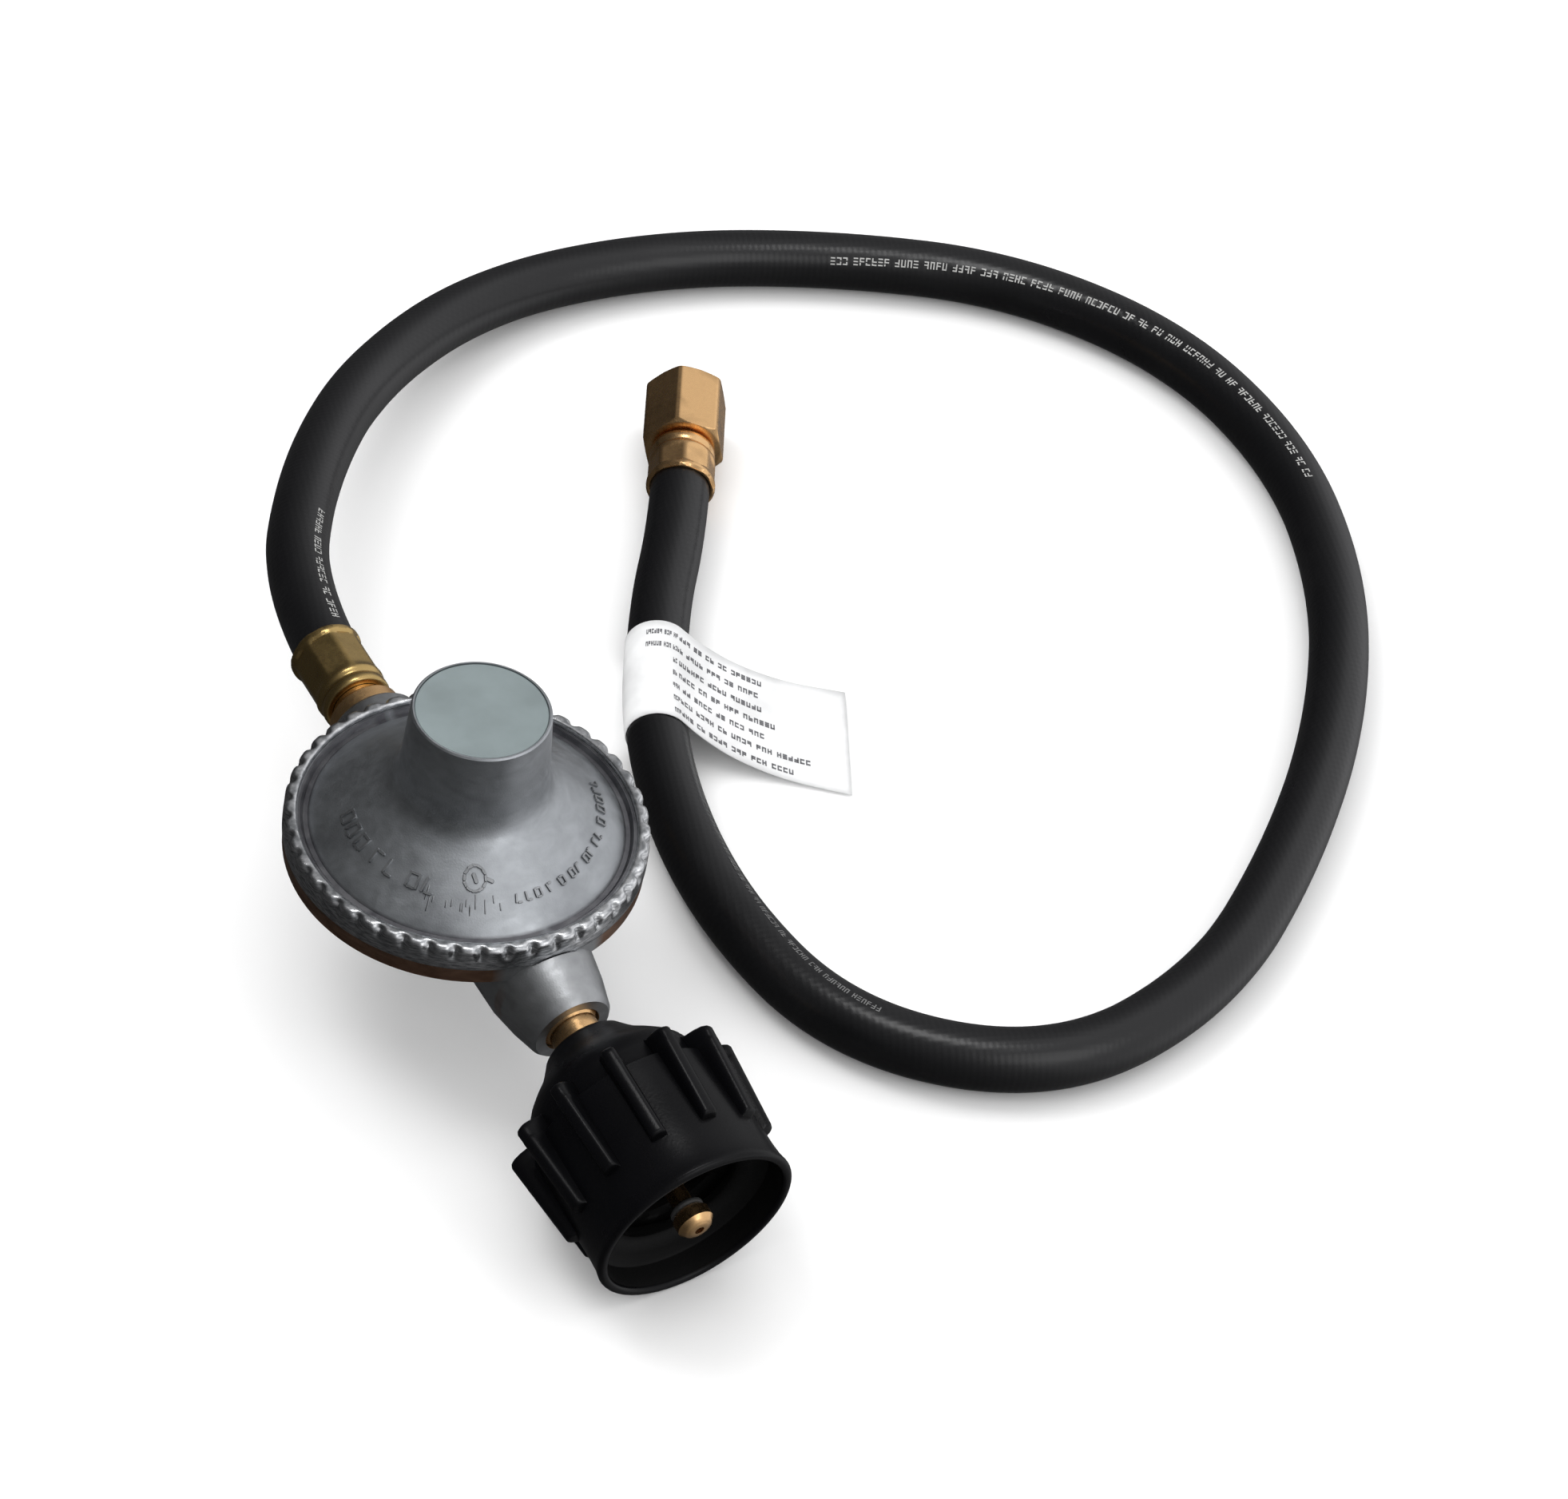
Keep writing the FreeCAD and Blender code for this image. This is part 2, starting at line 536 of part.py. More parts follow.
def label_tag():
    """Band wrapped over the hose, with its loose tail sloping down beside it."""
    end, before = Vector(*HOSE_ROUTE[LABEL_AT]), Vector(*HOSE_ROUTE[LABEL_AT - 1])
    along = (end - before).normalize()
    level = along.cross(UP).normalize()
    inner = HOSE_R + LABEL_GAP
    middle = before + (end - before) * LABEL_SHARE
    half = along * (LABEL_W / 2)
    band = placed(sleeve(inner + LABEL_T, inner, -LABEL_W / 2, LABEL_W / 2), middle, along)
    near = middle + level * (inner + LABEL_T / 2)
    far = middle + level * TAIL_L - Vector(0, 0, TAIL_DROP)
    tail = Part.Face(Part.makePolygon([near - half, far - half, far + half, near + half, near - half]))
    label = band.fuse(tail.extrude(Vector(0, 0, LABEL_T)))
    under = block(-100, 100, -100, 100, -20, 0.1)
    under.translate(Vector(middle.x, middle.y, 0))
    return label.cut(under)


# ---- springs that stand in the body ----------------------------------------------------------
def main_spring():
    return coil(9.2, 0.9, SEAM_Z + DIAPHRAGM_T + 1.4, 36.35, 6)


def relief_spring():
    return coil(4.0, 0.45, SEAM_Z + DIAPHRAGM_T + 1.4, 17.65, 4)


# ---- every node, with the frame it is built in -----------------------------------------------
def outlet_ferrule():
    return outlet(ferrule(54.5, FERRULE_L, 6.5))


NODES = {
    "lower_body": lambda: regulator(lower_body()),
    "cover": lambda: regulator(cover()),
    "crimp_ring": lambda: regulator(crimp_ring()),
    "diaphragm": lambda: regulator(diaphragm()),
    "closing_cap": lambda: regulator(closing_cap()),
    "vent_screen": lambda: regulator(vent_screen()),
    "adjusting_screw": lambda: regulator(adjusting_screw()),
    "upper_spring_seat": lambda: regulator(upper_spring_seat()),
    "main_spring": lambda: regulator(main_spring()),
    "diaphragm_plate": lambda: regulator(diaphragm_plate()),
    "relief_stem": lambda: regulator(relief_stem()),
    "relief_spring": lambda: regulator(relief_spring()),
    "relief_nut": lambda: regulator(relief_nut()),
    "lever": lambda: regulator(lever()),
    "lever_pin": lambda: regulator(lever_pin()),
    "valve_holder": lambda: regulator(valve_holder()),
    "seat_disc": lambda: regulator(seat_disc()),
    "orifice": lambda: regulator(orifice()),
    "inlet_nipple": lambda: inlet(inlet_nipple()),
    "check_poppet": lambda: inlet(check_poppet()),
    "check_spring": lambda: inlet(check_spring()),
    "probe": lambda: inlet(probe()),
    "nose_seal": lambda: inlet(nose_seal()),
    "thermal_bushing": lambda: inlet(thermal_bushing()),
    "tank_nut": lambda: inlet(tank_nut()),
    "outlet_barb": lambda: outlet(outlet_barb()),
    "outlet_ferrule": outlet_ferrule,
    "hose": hose,
    "label_tag": label_tag,
    "end_ferrule": end_ferrule,
    "end_stem": end_stem,
    "flare_nut": flare_nut,
}

os.makedirs("parts", exist_ok=True)
for name, build in NODES.items():
    shape = build()
    box = shape.optimalBoundingBox(False)
    print(f"{name:18s} solids {len(shape.Solids)} valid {shape.isValid()} volume {shape.Volume:9.1f}"
          f"  x {box.XMin:7.1f} {box.XMax:7.1f}  y {box.YMin:7.1f} {box.YMax:7.1f}"
          f"  z {box.ZMin:6.2f} {box.ZMax:6.1f}")
    shape.exportStep(f"parts/{name}.step")
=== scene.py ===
import json
import math
import random

import bpy
from mathutils import Matrix, Vector
from mathutils.bvhtree import BVHTree


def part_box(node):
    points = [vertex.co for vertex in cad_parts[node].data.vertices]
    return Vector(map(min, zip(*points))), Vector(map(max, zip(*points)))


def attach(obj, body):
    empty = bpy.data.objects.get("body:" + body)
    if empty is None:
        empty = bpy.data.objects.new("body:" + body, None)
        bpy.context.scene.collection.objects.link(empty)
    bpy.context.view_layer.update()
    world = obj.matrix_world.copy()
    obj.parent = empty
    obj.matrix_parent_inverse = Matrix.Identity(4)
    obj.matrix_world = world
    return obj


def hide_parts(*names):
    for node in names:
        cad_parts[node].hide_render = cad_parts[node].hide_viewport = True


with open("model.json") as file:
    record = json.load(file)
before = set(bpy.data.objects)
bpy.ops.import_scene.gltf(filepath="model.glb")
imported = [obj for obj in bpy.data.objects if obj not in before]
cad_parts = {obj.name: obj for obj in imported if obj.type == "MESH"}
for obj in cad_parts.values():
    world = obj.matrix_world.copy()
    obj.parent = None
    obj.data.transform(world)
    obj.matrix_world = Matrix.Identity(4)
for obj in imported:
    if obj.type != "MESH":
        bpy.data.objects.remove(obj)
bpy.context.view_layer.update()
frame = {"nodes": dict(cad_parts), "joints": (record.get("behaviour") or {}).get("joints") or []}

MM = 0.001

# ---- places, read from the frame ------------------------------------------------------------
JOINTS = {joint["name"]: joint for joint in frame["joints"]}
NODES = frame["nodes"]


def upright_frame(origin, along):
    """Frame with local +Z along a direction and local +X as near to straight up as it can be."""
    along = along.normalized()
    side = along.cross(Vector((0, 0, 1))).normalized()
    turn = Matrix((side.cross(along), side, along)).transposed()
    return Matrix.Translation(origin) @ turn.to_4x4()


def axis_frame(joint_name, back):
    """Frame on a joint's axis, with its origin a distance behind the joint's point."""
    joint = JOINTS[joint_name]
    along = Vector(joint["axis"]).normalized()
    return upright_frame(Vector(joint["pos_m"]) - along * back, along)


# The joints' points stand this far along each fitting's own axis.
INLET = axis_frame("tank_nut_spin", 55 * MM)
FITTING = axis_frame("flare_nut_spin", 14 * MM)
TOWER_X, TOWER_Y, _ = JOINTS["adjusting_screw_turn"]["pos_m"]
TOWER = Vector((TOWER_X, TOWER_Y, 0))
FERRULE_LOW, FERRULE_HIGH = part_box("outlet_ferrule")
OUTLET_Z = (FERRULE_LOW.z + FERRULE_HIGH.z) / 2
BODY = Matrix.Translation((TOWER.x, TOWER.y, OUTLET_Z))

# The hose's route: the same points as the CAD tube, in metres.
HOSE_ROUTE = [
    (0.00279, 0.07453, 0.03225),
    (0.00452, 0.10989, 0.03225),
    (0.0302, 0.1506, 0.0285),
    (0.0673, 0.1896, 0.0175),
    (0.116, 0.215, 0.0092),
    (0.167, 0.213, 0.0075),
    (0.213, 0.195, 0.0075),
    (0.254, 0.169, 0.0075),
    (0.280, 0.127, 0.0075),
    (0.282, 0.078, 0.0075),
    (0.264, 0.032, 0.0075),
    (0.235, -0.006, 0.0075),
    (0.198, -0.039, 0.0075),
    (0.155, -0.067, 0.0075),
    (0.106, -0.074, 0.0075),
    (0.0675, -0.0437, 0.0075),
    (0.0612, 0.0036, 0.0075),
    (0.0726, 0.0512, 0.0075),
    (0.0976, 0.0921, 0.0083),
    (0.11802, 0.11723, 0.00955),
    (0.131, 0.1374, 0.0105),
]
HOSE_R = 7.5 * MM
OUTLET = upright_frame(Vector((TOWER.x, TOWER.y, OUTLET_Z)), Vector(HOSE_ROUTE[1]) - Vector(HOSE_ROUTE[0]))


# ---- materials --------------------------------------------------------------------------------
class Nodes:
    """Short hand for a material's node tree, whose textures are laid out in the row frame."""

    def __init__(self, name):
        self.material = bpy.data.materials.new(name)
        self.material.use_nodes = True
        self.tree = self.material.node_tree
        self.shader = self.tree.nodes["Principled BSDF"]
        self.place = self.add("ShaderNodeTexCoord").outputs["Object"]

    def add(self, kind, **inputs):
        node = self.tree.nodes.new(kind)
        for key, value in inputs.items():
            self.put(node.inputs[key], value)
        return node

    @staticmethod
    def paint(colour):
        """A socket's colour: another node's output as it is, or three numbers made opaque."""
        return colour if isinstance(colour, bpy.types.NodeSocket) else (*colour, 1)

    def put(self, socket, value):
        if isinstance(value, bpy.types.NodeSocket):
            self.tree.links.new(value, socket)
        else:
            socket.default_value = value

    def noise(self, scale, detail=3.0, stretch=(1, 1, 1), distortion=0.0):
        mapping = self.add("ShaderNodeMapping", Vector=self.place, Scale=stretch)
        return self.add("ShaderNodeTexNoise", Vector=mapping.outputs[0], Scale=scale, Detail=detail,
                        Distortion=distortion).outputs["Fac"]

    def spread(self, value, low, high, to_low=0.0, to_high=1.0):
        node = self.add("ShaderNodeMapRange", Value=value)
        for index, number in enumerate((low, high, to_low, to_high), 1):
            node.inputs[index].default_value = number
        return node.outputs[0]

    def mix(self, factor, first, second):
        node = self.tree.nodes.new("ShaderNodeMix")
        node.data_type = "RGBA"
        self.put(node.inputs["Factor"], factor)
        self.put(node.inputs["A"], self.paint(first))
        self.put(node.inputs["B"], self.paint(second))
        return node.outputs["Result"]

    def math(self, operation, first, second=0.0):
        node = self.tree.nodes.new("ShaderNodeMath")
        node.operation = operation
        self.put(node.inputs[0], first)
        self.put(node.inputs[1], second)
        return node.outputs[0]

    def bump(self, height, distance, strength=1.0, under=None):
        node = self.add("ShaderNodeBump", Height=height, Distance=distance, Strength=strength)
        if under is not None:
            self.put(node.inputs["Normal"], under)
        return node.outputs[0]

    def finish(self, colour, roughness, metallic=0.0, normal=None, specular=0.5):
        self.put(self.shader.inputs["Base Color"], self.paint(colour))
        self.put(self.shader.inputs["Roughness"], roughness)
        self.shader.inputs["Metallic"].default_value = metallic
        self.shader.inputs["Specular IOR Level"].default_value = specular
        if normal is not None:
            self.put(self.shader.inputs["Normal"], normal)
        return self.material


def cast_metal(name, light, dark, ring=None):
    """Dull die-cast zinc: fine grain, flow marks and patches of dark oxide. ring is a darker band round the
    tower, painted shade in the cover's groove and a brown band on the lower body's flange: (inner radius,
    outer radius, half width left clear at the necks, two colours)."""
    n = Nodes(name)
    grain = n.noise(2600, 4)
    flow = n.noise(160, 5, (1, 1, 2.5), 0.6)
    colour = n.mix(n.spread(flow, 0.3, 0.7), tuple(c * 0.82 for c in light), light)
    colour = n.mix(n.spread(n.noise(70, 4), 0.5, 0.75, 0, 0.7), colour, dark)
    if ring is not None:
        inner, outer, clear, first, second = ring
        centred = n.add("ShaderNodeMapping", Vector=n.place, Location=(-TOWER.x, -TOWER.y, 0)).outputs[0]
        parts = n.add("ShaderNodeSeparateXYZ", Vector=centred)
        reach = n.math("SQRT", n.math("ADD", n.math("POWER", parts.outputs[0], 2.0),
                                      n.math("POWER", parts.outputs[1], 2.0)))
        band = n.math("MULTIPLY", n.spread(reach, inner - 0.3 * MM, inner + 0.3 * MM),
                      n.spread(reach, outer - 0.3 * MM, outer + 0.3 * MM, 1, 0))
        beside = n.spread(n.math("ABSOLUTE", parts.outputs[0]), clear - 1.5 * MM, clear + 1.5 * MM)
        # On the cover this ring is painted shade in the groove by the rim; on the lower body it is a brown
        # band.
        ring_colour = n.mix(n.spread(flow, 0.3, 0.7), first, second)
        colour = n.mix(n.math("MULTIPLY", band, beside), colour, ring_colour)
    rough = n.spread(n.noise(420, 3), 0.3, 0.7, 0.38, 0.50)
    normal = n.bump(grain, 0.10 * MM, 0.3, n.bump(flow, 0.25 * MM, 0.15))
    return n.finish(colour, rough, 0.97, normal)


def bright_metal(name):
    """Metal that a tool has rolled bright, with drag marks."""
    n = Nodes(name)
    drag = n.noise(500, 4, (1, 1, 5))
    colour = n.mix(n.spread(drag, 0.35, 0.7), (0.28, 0.29, 0.30), (0.85, 0.86, 0.87))
    rough = n.spread(drag, 0.3, 0.7, 0.40, 0.24)
    return n.finish(colour, rough, 1.0, n.bump(n.noise(1500, 2), 0.08 * MM, 0.3))


def brass(name, tone=(0.82, 0.51, 0.24)):
    """Machined brass, a little tarnished, with fine tool lines."""
    n = Nodes(name)
    tarnish = n.noise(120, 4)
    darker = tuple(c * 0.6 for c in tone)
    colour = n.mix(n.spread(tarnish, 0.5, 0.8), tone, darker)
    rough = n.spread(n.noise(900, 3), 0.3, 0.7, 0.22, 0.34)
    return n.finish(colour, rough, 1.0, n.bump(n.noise(2200, 2), 0.05 * MM, 0.12))


def plain_steel(name, colour=(0.55, 0.55, 0.56)):
    n = Nodes(name)
    shade = n.mix(n.spread(n.noise(300, 3), 0.3, 0.7), colour, tuple(c * 0.8 for c in colour))
    return n.finish(shade, n.spread(n.noise(800, 2), 0.3, 0.7, 0.25, 0.4), 1.0)


def moulded(name, colour, roughness, grain=1800, depth=0.06 * MM, specular=0.5):
    """Moulded plastic: fine spark-eroded grain and slow changes of gloss."""
    n = Nodes(name)
    tone = n.mix(n.spread(n.noise(90, 3), 0.3, 0.7), colour, tuple(c * 0.8 for c in colour))
    rough = n.spread(n.noise(60, 3), 0.3, 0.7, roughness - 0.06, roughness + 0.06)
    return n.finish(tone, rough, 0.0, n.bump(n.noise(grain, 3), depth, 0.5), specular)


def hose_rubber(name):
    """Smooth black rubber with the faint imprint of the cloth it was cured in."""
    n = Nodes(name)
    dust = n.noise(40, 5)
    colour = n.mix(n.spread(dust, 0.5, 0.8, 0, 0.6), (0.0035, 0.0035, 0.004), (0.007, 0.007, 0.0075))
    rough = n.spread(n.noise(25, 3), 0.3, 0.7, 0.26, 0.34)
    waves = []
    for turn in (20, 110):
        turned = n.add("ShaderNodeMapping", Vector=n.place, Rotation=(0, 0, math.radians(turn))).outputs[0]
        waves.append(n.add("ShaderNodeTexWave", Vector=turned, Scale=200.0, Distortion=0.6).outputs["Fac"])
    weave = n.math("MULTIPLY", n.math("ADD", *waves), 0.5)
    grain = n.bump(n.noise(1200, 3), 0.05 * MM, 0.2)
    return n.finish(colour, rough, 0.0, n.bump(weave, 0.10 * MM, 0.25, grain), 0.42)


MATERIALS = {
    # The cover's ring from 34.9 to 37.6 mm is painted shade in the groove between the cone and the rim.
    "cast": cast_metal("cast zinc", (0.43, 0.45, 0.47), (0.24, 0.25, 0.265),
                       (34.9 * MM, 37.6 * MM, 0, (0.10, 0.10, 0.11), (0.20, 0.20, 0.21))),
    # The lower body's ring from 39.9 to 42 mm is a brown band round the flange, left off at the necks.
    "cast_brown_band": cast_metal("cast zinc with a brown edge band", (0.40, 0.41, 0.42), (0.09, 0.08, 0.075),
                               (39.9 * MM, 42 * MM, 12.5 * MM, (0.17, 0.095, 0.06), (0.30, 0.18, 0.12))),
    # The marks take a darker tone than the cover: painted shade round the raised strokes.
    "marks_painted_shade": cast_metal("raised marks with painted shade", (0.34, 0.35, 0.36), (0.16, 0.17, 0.18)),
    "rim": bright_metal("rolled rim"),
    "steel": plain_steel("plated steel"),
    "spring": plain_steel("spring wire", (0.35, 0.35, 0.36)),
    "brass": brass("brass"),
    # A darker brown tone of brass, for the outlet ferrule.
    "brown_brass": brass("dark brown brass", (0.50, 0.35, 0.14)),
    "cap": moulded("closing cap", (0.185, 0.225, 0.23), 0.5),
    "black": moulded("black nylon", (0.002, 0.002, 0.0025), 0.30, 1500, 0.05 * MM, 0.16),
    "black_inside": moulded("black nylon inside", (0.0025, 0.0025, 0.0025), 0.6, 1500, 0.06 * MM, 0.15),
    "inner": moulded("inner plastic", (0.70, 0.69, 0.64), 0.5),
    "rubber": moulded("diaphragm rubber", (0.03, 0.03, 0.03), 0.6),
    "hose": hose_rubber("hose rubber"),
    "label": moulded("label film", (0.86, 0.865, 0.87), 0.42, 600, 0.03 * MM),
    "ink": moulded("label ink", (0.13, 0.13, 0.14), 0.5, 600, 0.01 * MM),
    "print": moulded("hose print", (0.42, 0.42, 0.41), 0.55, 900, 0.02 * MM),
    "worn_print": moulded("worn hose print", (0.15, 0.15, 0.15), 0.55, 900, 0.02 * MM),
}


# ---- mesh helpers -----------------------------------------------------------------------------
def add_mesh(name, points, faces, material, sharp=32):
    """New object in the row frame, smooth except at edges sharper than an angle in degrees."""
    mesh = bpy.data.meshes.new(name)
    mesh.from_pydata([tuple(p) for p in points], [], faces)
    mesh.validate()
    mesh.polygons.foreach_set("use_smooth", [True] * len(mesh.polygons))
    mesh.set_sharp_from_angle(angle=math.radians(sharp))
    mesh.materials.append(MATERIALS[material])
    piece = bpy.data.objects.new(name, mesh)
    bpy.context.scene.collection.objects.link(piece)
    return piece


def evenly(low, high, count):
    """Numbers from low to high in a count of equal steps, with both ends."""
    return [low + (high - low) * k / count for k in range(count + 1)]


def all_round(count):
    """A count of angles in degrees, evenly round a circle."""
    return evenly(0, 360, count)[:-1]


def arc(r, h, radius, start, end):
    """Eleven points of an outline on an arc about (r, h), between two angles in degrees."""
    angles = [math.radians(angle) for angle in evenly(start, end, 10)]
    return [(r + radius * math.cos(a), h + radius * math.sin(a)) for a in angles]


def spun(name, outline, place, material, angles=None, shape=None, sharp=32, inside=None, inside_from=0):
    """Surface of revolution of a closed (radius, height) outline in millimetres. shape moves a
    point of it: it takes (radius, height, angle in degrees) and returns (radius, height). From the
    outline's point number inside_from on, the faces take the material inside."""
    angles = angles or all_round(128)
    columns, rows = len(angles), len(outline)
    points = []
    for angle in angles:
        c, s = math.cos(math.radians(angle)), math.sin(math.radians(angle))
        for r, h in outline:
            if shape is not None:
                r, h = shape(r, h, angle)
            points.append(place @ Vector((r * c * MM, r * s * MM, h * MM)))
    faces = []
    for k in range(columns):
        across = (k + 1) % columns
        for j in range(rows):
            up = (j + 1) % rows
            faces.append((k * rows + j, across * rows + j, across * rows + up, k * rows + up))
    piece = add_mesh(name, points, faces, material, sharp)
    if inside is not None:
        piece.data.materials.append(MATERIALS[inside])
        for number, face in enumerate(piece.data.polygons):
            face.material_index = int(number % rows >= inside_from)
    return piece


def smoothstep(value, low, high):
    """Rises smoothly from 0 at low to 1 at high."""
    s = min(1.0, max(0.0, (value - low) / (high - low)))
    return s * s * (3 - 2 * s)


# ---- the tank nut -----------------------------------------------------------------------------
NUT_MOUTH = 79.5
RIBS = 12
RIB_HALF_ANGLE = 4.7
RIB_START, RIB_END = 44.6, 68.2
RIB_TIP_BACK, RIB_TIP_FRONT = 27.1, 25.1
RIB_PHASE = 18.5
THREAD_PITCH = 5.08
THREAD_LOW, THREAD_HIGH = 41.0, 70.0
THREAD_DEPTH = 1.7


def rib_angles():
    """Angles round the nut, close together where a rib's side is steep."""
    half = [0, 1.3, 2.5, 3.4, 4.0, 4.35, 4.6, 4.8, 5.2, 6, 8, 11, 15]
    pitch = half + [30 - a for a in reversed(half[1:-1])]
    return [RIB_PHASE + 30 * k + a for k in range(RIBS) for a in pitch]


def from_rib(angle):
    """Degrees from the middle of the nearest rib."""
    return abs((angle - RIB_PHASE + 15) % 30 - 15)


def nut_shape(r, h, angle):
    """Raises the ribs outside the nut and cuts the thread inside it."""
    away = from_rib(angle)
    if r > 20.2 and away < RIB_HALF_ANGLE + 0.1 and RIB_START < h < RIB_END:
        tip = RIB_TIP_BACK + (RIB_TIP_FRONT - RIB_TIP_BACK) * (h - 46) / (RIB_END - 46)
        crown = max(0.0, 1 - (away / RIB_HALF_ANGLE) ** 4) ** 0.5
        start = max(0.0, 1 - max(0.0, 1 - (h - RIB_START) / 1.9) ** 2) ** 0.5
        end = max(0.0, 1 - max(0.0, 1 - (RIB_END - h) / 0.9) ** 2) ** 0.5
        return r + max(0.0, tip - r) * crown * start * end, h
    if r < 15 and THREAD_LOW < h < THREAD_HIGH:
        phase = (h / THREAD_PITCH - angle / 360) % 1
        groove = smoothstep(phase, 0.18, 0.34) * (1 - smoothstep(phase, 0.66, 0.82))
        start = smoothstep(h, THREAD_LOW, THREAD_LOW + 2)
        end = 1 - smoothstep(h, THREAD_HIGH - 2, THREAD_HIGH)
        return r + THREAD_DEPTH * groove * start * end, h
    return r, h


def tank_nut():
    back = NUT_MOUTH - 50
    neck = [(9.2, back + 0.1), (9.7, back + 0.5), (10.2, back + 1.2), (11.6, 32.6), (13.2, 34.5),
            (16.1, 37.1), (18.2, 39.2), (19.4, 40.8), (20.3, 42.8), (20.6, 44.1)]
    side = [(20.6 + 0.08 * (h - 44), h) for h in (44.65, 44.75, 45.0, 45.4, 45.9, 46.5, 47.2, 48.0)]
    side += [(21.0, 48.5), (21.3, 48.75), (22.3, 49.0), (22.7, 49.3)]
    skirt = [(22.72 + 0.02 * k, h) for k, h in enumerate(evenly(50.5, 66.5, 9))]
    skirt += [(22.9, h) for h in (67.2, 67.5, 67.8, 68.0, 68.15, 68.3, 69, 71, 73)]
    skirt += [(23.0, 74.8), (23.1, 76.4), (23.3, 77.4)]
    lip = arc(22.4, 78.4, 1.1, 0, 90) + [(21.9, NUT_MOUTH), (21.5, 79.3), (21.3, 78.95), (21.2, 78.5)]
    socket = [(21.1, 76), (20.9, 73.4), (20.3, 72.8), (18, 72.1), (16.2, 71.5), (15.4, 70.9),
              (14.75, 70.2)]
    thread = [(14.7, h) for h in evenly(70, 41, 58)]
    inside = [(14.7, 40), (14.5, 39.3), (12.4, 37), (10.1, 34.5), (9.8, 34.35), (6.6, 34.3), (6.35, 34.1),
              (6.3, 33.5), (6.3, back + 0.6), (6.5, back + 0.15), (6.9, back), (8.8, back)]
    outside = neck + side + skirt + lip
    nut = spun("tank_nut_moulding", outside + socket + thread + inside, INLET, "black", rib_angles(),
               nut_shape, 40, "black_inside", len(outside) - 1)
    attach(nut, "tank_nut")
    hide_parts("tank_nut")


tank_nut()


# ---- rolled rim -------------------------------------------------------------------------------
CRIMPS = 44


def rim_shape(r, h, angle):
    """The crimping tool's dents in the top outer corner of the rim."""
    phase = (angle * CRIMPS / 360) % 1
    dent = math.exp(-((min(phase, 1 - phase)) / 0.17) ** 2)
    corner = smoothstep(r, 38.6, 40.2) * smoothstep(h, 11.6, 14.6)
    return r - 0.75 * dent * corner, h - 0.95 * dent * corner


def crimp_ring():
    corner = arc(39.25, 14.25, 1.35, 90, 0)
    wall = [(40.6, h) for h in (13.6, 13.0, 12.4, 11.8, 11.0, 10.2)] + [(40.55, 9.6), (40.4, 9.42)]
    inner = [(38.4, 9.42), (38.4, 13.7), (37.75, 14.4), (37.7, 14.9), (37.8, 15.35), (38.1, 15.55)]
    top = [(38.5, 15.6), (38.9, 15.6)]
    rim = spun("crimp_ring_rolled", inner + top + corner + wall, BODY, "rim", all_round(CRIMPS * 12),
               rim_shape, 50)
    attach(rim, "regulator")
    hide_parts("crimp_ring")


crimp_ring()


# ---- hose fittings ----------------------------------------------------------------------------
CRIMP_FLATS = 8


def ferrule_shape(r, h, angle):
    """Eight crimped flats along the middle of a ferrule."""
    if r < 7.6:
        return r, h
    pitch = 360.0 / CRIMP_FLATS
    off = (angle % pitch) - pitch / 2
    flat = 7.95 / math.cos(math.radians(off))
    pressed = smoothstep(h, 4.6, 6.0) * smoothstep(8.6 - r, -0.02, 0.02)
    return r + (min(r, flat) - r) * pressed, h


def ferrule(name, place, length, hug, metal="brass"):
    """Crimped sleeve, closed at height 0 on its fitting and open over the hose at its length. hug is
    the radius of its hole at the closed end."""
    outside = [(7.5, 0.02), (7.9, 0.15), (8.2, 0.6), (8.22, 1.6), (8.1, 2.3), (7.85, 2.7), (7.8, 3.1),
               (8.0, 3.5), (8.35, 3.9), (8.42, 4.6)]
    outside += [(8.42, h) for h in evenly(4.9, length - 2.4, 16)]
    outside += [(8.62, length - 1.9), (8.7, length - 1.4), (8.68, length - 0.7), (8.5, length - 0.25),
                (8.2, length - 0.02), (7.9, length)]
    inside = [(7.55, length - 0.1), (7.5, length - 0.4), (7.5, 10), (7.5, 2.62), (7.4, 2.6),
              (hug + 0.05, 2.6), (hug, 2.5), (hug, 0.05)]
    sleeve = spun(name, outside + inside, place, metal, all_round(160), ferrule_shape, 40)
    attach(sleeve, "regulator")
    return sleeve


# Each ferrule's closed end: one this far out along the outlet, the other facing back on the hose's end.
OUTLET_FERRULE = OUTLET @ Matrix.Translation((0, 0, 54.5 * MM))
END_FERRULE = FITTING @ Matrix.Translation((0, 0, 2.6 * MM)) @ Matrix.Rotation(math.pi, 4, "Y")
outlet_sleeve = ferrule("outlet_ferrule_crimped", OUTLET_FERRULE, 19.0, 6.5, "brown_brass")
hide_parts("outlet_ferrule")
end_sleeve = ferrule("end_ferrule_crimped", END_FERRULE, 13.5, 5.2)
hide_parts("end_ferrule")

HEX_HALF = 19.05 / 2
HEX_TURN = 45
NUT_LOW, NUT_HIGH = 3.4, 24.4


def hex_shape(r, h, angle):
    """A round blank milled to six flats, with its corners turned off at both ends."""
    if r < HEX_HALF - 1.2:
        return r, h
    off = (angle % 60) - 30
    flat = HEX_HALF / math.cos(math.radians(off))
    corner = HEX_HALF / math.cos(math.radians(30)) - 0.28
    limits = [r, flat, corner]
    if h not in (NUT_LOW, NUT_HIGH):
        limits.append(HEX_HALF - 0.15 + 1.75 * (h - NUT_LOW))
        limits.append(HEX_HALF - 0.45 + 1.75 * (NUT_HIGH - h))
    return min(limits), h


